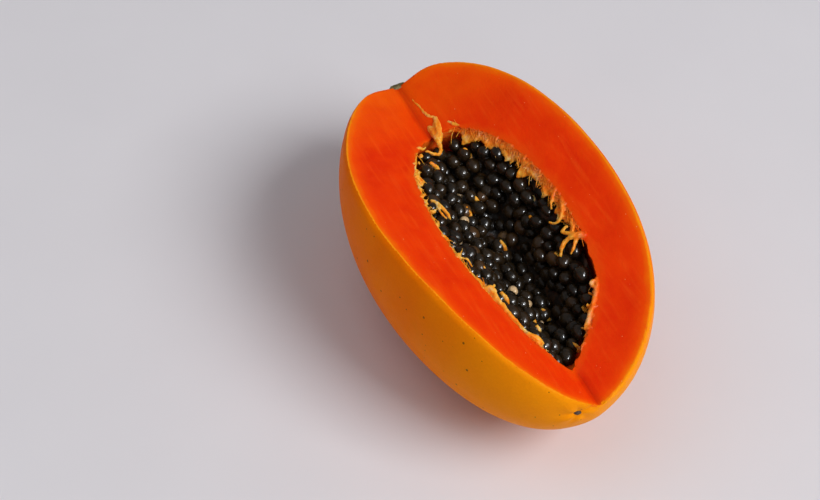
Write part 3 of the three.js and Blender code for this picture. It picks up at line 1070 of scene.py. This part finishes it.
def hang_frill(name, side, start, stop, reach):
    deselect()
    cells = int((stop - start) / FRILL_CELL)
    bpy.ops.mesh.primitive_grid_add(x_subdivisions=cells, y_subdivisions=12, size=2)
    piece = added(name)
    grid = read_points(piece)
    x = start + (stop - start) * (grid[:, 0] + 1) / 2
    inward = (grid[:, 1] + 1) / 2
    line = np.column_stack((x, np.full_like(x, 9.0 * side), np.zeros_like(x)))
    ends = np.minimum(1, np.minimum(x - start, stop - x) / 6)
    torn = np.clip(0.75 + slow_noise(line, 5.2, 6) + 0.4 * slow_noise(line, 1.9, 7), 0.12, 1.8)
    length = reach * torn * ends
    rim = np.interp(x, STATIONS, RIGHT_RIM if side > 0 else LEFT_RIM)
    y = rim + side * (1.0 - inward * (length + 1.0))
    wave = slow_noise(np.column_stack((x, 14 * inward, np.full_like(x, 3.0 * side))), 2.6, 8)
    hang = 0.7 + 0.7 * inward * length - 0.3 * wave * inward + 0.9 * (inward < 0.05)
    z = cut_height(x, rim) - hang
    write_points(piece, np.column_stack((x + 0.4 * wave * inward, y, z)))
    thicken = piece.modifiers.new("thickness", "SOLIDIFY")
    thicken.thickness = FRILL_THICK
    thicken.offset = 0
    bpy.ops.object.modifier_apply(modifier=thicken.name)
    return piece


frills = [
    hang_frill("frill_upper_right", side=1, start=-51, stop=18, reach=5.0),
    hang_frill("frill_lower_right", side=1, start=41, stop=64, reach=2.4),
    hang_frill("frill_left", side=-1, start=-46, stop=64, reach=0.7),
]
print("frills:", [faces_of(piece) for piece in frills])

# %% [markdown]
# ## The lumps in the frill
# Where a strand tore off close to the wall, it left a soft lump. Small balls are squeezed along the rim
# for these, most of them on the right, where the tissue is thickest.

# %% Press lumps into the rim
def press_lump(index):
    pick = [scatter(index, channel) for channel in range(50, 57)]
    x = along_rim(pick[1])
    side = -1 if pick[0] < 0.3 or on_bare_wall(x, 1) else 1
    size = 0.7 + 1.1 * pick[2] ** 2
    deselect()
    bpy.ops.mesh.primitive_ico_sphere_add(subdivisions=2, radius=size)
    piece = bpy.context.active_object
    points = read_points(piece) * (1.0 + pick[3], 0.7 + 0.6 * pick[4], 0.7)
    inward = 2.6 * pick[5] - 0.3
    sink = 0.6 + 0.9 * pick[6] + 0.8 * pick[5]
    write_points(piece, points + over_cut(x, rim_at(x, side) - side * inward, -sink))
    return piece


LUMPS = 70
lumps = [press_lump(index) for index in range(LUMPS)]
print("lumps:", len(lumps))

# %% [markdown]
# ## Melting the tissue into one piece
# On the fruit these are all one soft tissue. Joined, and remeshed with small voxels, they grow together
# where they touch. A Smooth modifier takes the steps away, and noise gives the surface small bumps.

# %% Melt the strands, frills and lumps together
VOXEL, BUMPS = 0.34, 0.3


def apply_modifier(piece, kind, **settings):
    modifier = piece.modifiers.new(kind.lower(), kind)
    for name, value in settings.items():
        setattr(modifier, name, value)
    bpy.context.view_layer.objects.active = piece
    bpy.ops.object.modifier_apply(modifier=modifier.name)


tissue = join("placenta_strands", [strands, *frills, *lumps])
apply_modifier(tissue, "REMESH", mode="VOXEL", voxel_size=VOXEL)
apply_modifier(tissue, "SMOOTH", factor=0.5, iterations=7)
bumps = read_points(tissue)
shake = np.column_stack([slow_noise(bumps, 1.5, seed) for seed in (3, 4, 5)])
write_points(tissue, bumps + BUMPS * shake)
print("tissue:", faces_of(tissue), "faces")

# %% [markdown]
# ## The fine fibres
# The torn edge is fuzzy: hairs of tissue are combed across the rim, most of them on the upper right.
# They are too thin for the voxels, so they are drawn as thin paths and joined to the tissue afterwards.

# %% Comb fine fibres over the rim
FIBRES = 340
FUZZY = (-50, 20)
FUZZY_SHARE, RIGHT_SHARE = 0.66, 0.8
STEM_STRANDS, STEM_TONE = -50, 0.8


def draw_fibre(paths, index):
    pick = [scatter(index, channel) for channel in range(70, 78)]
    fuzzy = pick[0] < FUZZY_SHARE
    side = 1 if pick[0] < RIGHT_SHARE else -1
    x = FUZZY[0] + (FUZZY[1] - FUZZY[0]) * pick[1] if fuzzy else along_rim(pick[1])
    if on_bare_wall(x, side):
        return
    rim = rim_at(x, side)
    top = float(cut_height(x, rim))
    reach = 0.7 + (4.4 if fuzzy else 1.6) * pick[2] ** 2
    lean = 12.0 * (pick[3] - 0.5)
    lift = 0.7 * pick[4]
    curl = 1.5 * (pick[6] - 0.5)
    points = [
        (x - 0.4 * lean, rim + side * 0.9, top - 0.1),
        (x - 0.1 * lean, rim + side * 0.1, top + 0.1 * lift),
        (x + 0.3 * lean, rim - side * 0.45 * reach, top - 0.35 - 0.25 * reach + lift),
        (x + 0.7 * lean, rim - side * 0.8 * reach, top - 0.4 - 0.5 * reach + lift * pick[5] * 2),
        (x + lean + curl, rim - side * reach, top - 0.4 - 0.66 * reach + lift * pick[7] * 3),
    ]
    draw_path(paths, points, [1.0, 1.1, 0.9, 0.8, 0.5])


fibres = new_paths("fine_fibres", 0.17)
fibres.data.bevel_resolution = 0
fibres.data.resolution_u = 3
for index in range(FIBRES):
    draw_fibre(fibres, index)
bpy.ops.object.convert(target="MESH")
tissue = join("placenta_strands", [tissue, fibres])
bpy.ops.object.shade_smooth()
torn_points = read_points(tissue)
from_right = np.interp(torn_points[:, 0], STATIONS, RIGHT_RIM) - torn_points[:, 1]
from_left = torn_points[:, 1] - np.interp(torn_points[:, 0], STATIONS, LEFT_RIM)
torn = np.where(from_right < from_left, 0.15 + from_right / 5.0, 0.8 + from_left / 2.4)
at_stem = torn_points[:, 0] < STEM_STRANDS
store(tissue, "torn", np.where(at_stem, STEM_TONE, np.clip(torn, 0, 1)))
print("tissue with its fibres:", faces_of(tissue), "faces")

# %% [markdown]
# ## The tissue's finish
# It is wet and lets light through. At the rim it has the colour of the flesh, and towards its torn end
# it turns orange, yellow and cream.

# %% Tissue finish
def tissue_finish():
    finish, shader = new_finish("placenta_tissue")
    spots = combine("ADD", cloud(5.0, 2), combine("MULTIPLY", cloud(1.6, 3), 0.6))
    body = ramp(span(spots, 0.50, 1.04), (
        (0.0, (0.96, 0.19, 0.005)), (0.35, (1.0, 0.30, 0.014)),
        (0.7, (1.0, 0.44, 0.05)), (1.0, (1.0, 0.66, 0.24))))
    body = mixed(attribute("torn"), (0.86, 0.075, 0.001), body)
    feed(shader.inputs["Base Color"], body)
    feed(shader.inputs["Roughness"], span(cloud(1.5), 0.3, 0.7, 0.28, 0.45))
    shader.inputs["Specular IOR Level"].default_value = 0.12
    let_light_in(shader, 0.35, (1.0, 0.5, 0.2), 2)
    roughen(shader, cloud(0.7, 3, (1, 0.3, 0.5)), 0.35)
    return finish


tissue.data.materials.clear()
tissue.data.materials.append(tissue_finish())
lay_down(tissue)
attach(tissue, "root")
print("finish of the tissue:", tissue.data.materials[0].name)

# %% [markdown]
# ## The scars at the two ends
# Where the flower sat, a small dry crust is left in the puckered tip. Where the stalk sat, a corky disc
# is left in the dent, and the knife went through it. Both are roughened cones, and the disc is bisected
# along the cut.

# %% Make the two crusts
def crust(name, radius, height, place, facing, squash, seed):
    deselect()
    bpy.ops.mesh.primitive_cone_add(
        vertices=20, radius1=radius, radius2=0.45 * radius, depth=height, end_fill_type="TRIFAN")
    piece = added(name)
    edit_all(bpy.ops.mesh.subdivide, number_cuts=2)
    points = read_points(piece)
    points *= (1 + 0.3 * slow_noise(points, 0.45 * radius, seed))[:, None]
    x, y, z = points.T
    write_points(piece, np.column_stack((facing * z, x, facing * y * squash)) + place)
    bpy.ops.object.shade_smooth()
    return piece


def crust_finish(name, dark, light):
    finish, shader = new_finish(name)
    feed(shader.inputs["Base Color"], mixed(span(cloud(1.0, 4), 0.4, 0.65), dark, light))
    shader.inputs["Roughness"].default_value = 0.75
    roughen(shader, cloud(0.7, 4), 0.3)
    return finish


tip_crust = crust(
    "blossom_scar", radius=2.0, height=1.4, place=FLOWER_SCAR - (0.9, 0, 0), facing=1, squash=0.55, seed=9)
tip_crust.data.materials.append(
    crust_finish("dry_blossom_scar", (0.018, 0.010, 0.005), (0.09, 0.045, 0.015)))
stem_crust = crust(
    "stalk_scar", radius=6.8, height=2.2, place=(-83.4, 0.4, 0.0), facing=-1, squash=1.0, seed=10)
stem_crust.data.materials.append(
    crust_finish("corky_stalk_scar", (0.10, 0.075, 0.018), (0.26, 0.20, 0.06)))
edit_all(
    bpy.ops.mesh.bisect, plane_co=(-83, 0.3, 1.5), plane_no=(0, 0, 1), use_fill=True, clear_outer=True)
for piece in (tip_crust, stem_crust):
    lay_down(piece)
    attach(piece, "root")
print("crusts:", faces_of(tip_crust), faces_of(stem_crust))

# %% [markdown]
# ## The floor
# A plain pale floor, with a cloud in its colour so slow that it is felt rather than seen. It is part of
# the stage and not of the fruit.

# %% Floor
deselect()
bpy.ops.mesh.primitive_plane_add(size=6)
floor = added("floor")
floor_paint, floor_shader = new_finish("pale_floor")
floor_colour = mixed(cloud(60), (0.71, 0.68, 0.70), (0.75, 0.72, 0.74))
feed(floor_shader.inputs["Base Color"], floor_colour)
floor_shader.inputs["Roughness"].default_value = 0.7
floor.data.materials.append(floor_paint)
print("floor is", floor.dimensions.x, "m wide")

# %% [markdown]
# ## The lights
# The main light is a soft window to the right of the camera, so the left cut face and the tip are
# bright and the skin on the left falls into soft shade. A wide light overhead lights the skin's shoulder
# and is kept out of reflections. A small third light is only seen in reflections: it puts the sharp
# glints on the wet seeds.

# %% Add the lights
TARGET = Vector((0, 0, 0.04))


def window_light(name, direction, distance, size, watts, colour):
    """An area light that looks at the fruit. Its direction is in the camera's right, up and back."""
    deselect()
    bpy.ops.object.light_add(type="AREA")
    light = added(name)
    light.data.shape = "RECTANGLE"
    light.data.size, light.data.size_y = size
    light.data.energy = watts
    light.data.color = colour
    world_direction = camera.matrix_world.to_3x3() @ Vector(direction).normalized()
    light.location = TARGET + world_direction * distance
    light.rotation_euler = world_direction.to_track_quat("Z", "Y").to_euler()
    return light


window_light(
    "window", (0.63, 0.19, 0.75), distance=3.0, size=(1.6, 1.6), watts=74, colour=(0.98, 0.99, 1.0))
sky = window_light(
    "sky", (-0.36, 0.54, 0.76), distance=1.6, size=(1.2, 1.2), watts=3.6, colour=(0.97, 0.98, 1.0))
sky.visible_glossy = False
glint = window_light(
    "glint", (0.42, 0.0, 0.9), distance=1.2, size=(0.17, 0.22), watts=14.0, colour=(0.9, 0.95, 1.0))
glint.visible_diffuse = False
world = bpy.data.worlds.new("room")
bpy.context.scene.world = world
world.use_nodes = True
background = world.node_tree.nodes["Background"]
background.inputs["Color"].default_value = (0.86, 0.88, 0.93, 1)
background.inputs["Strength"].default_value = 0.27
bpy.context.scene.view_settings.view_transform = "Standard"
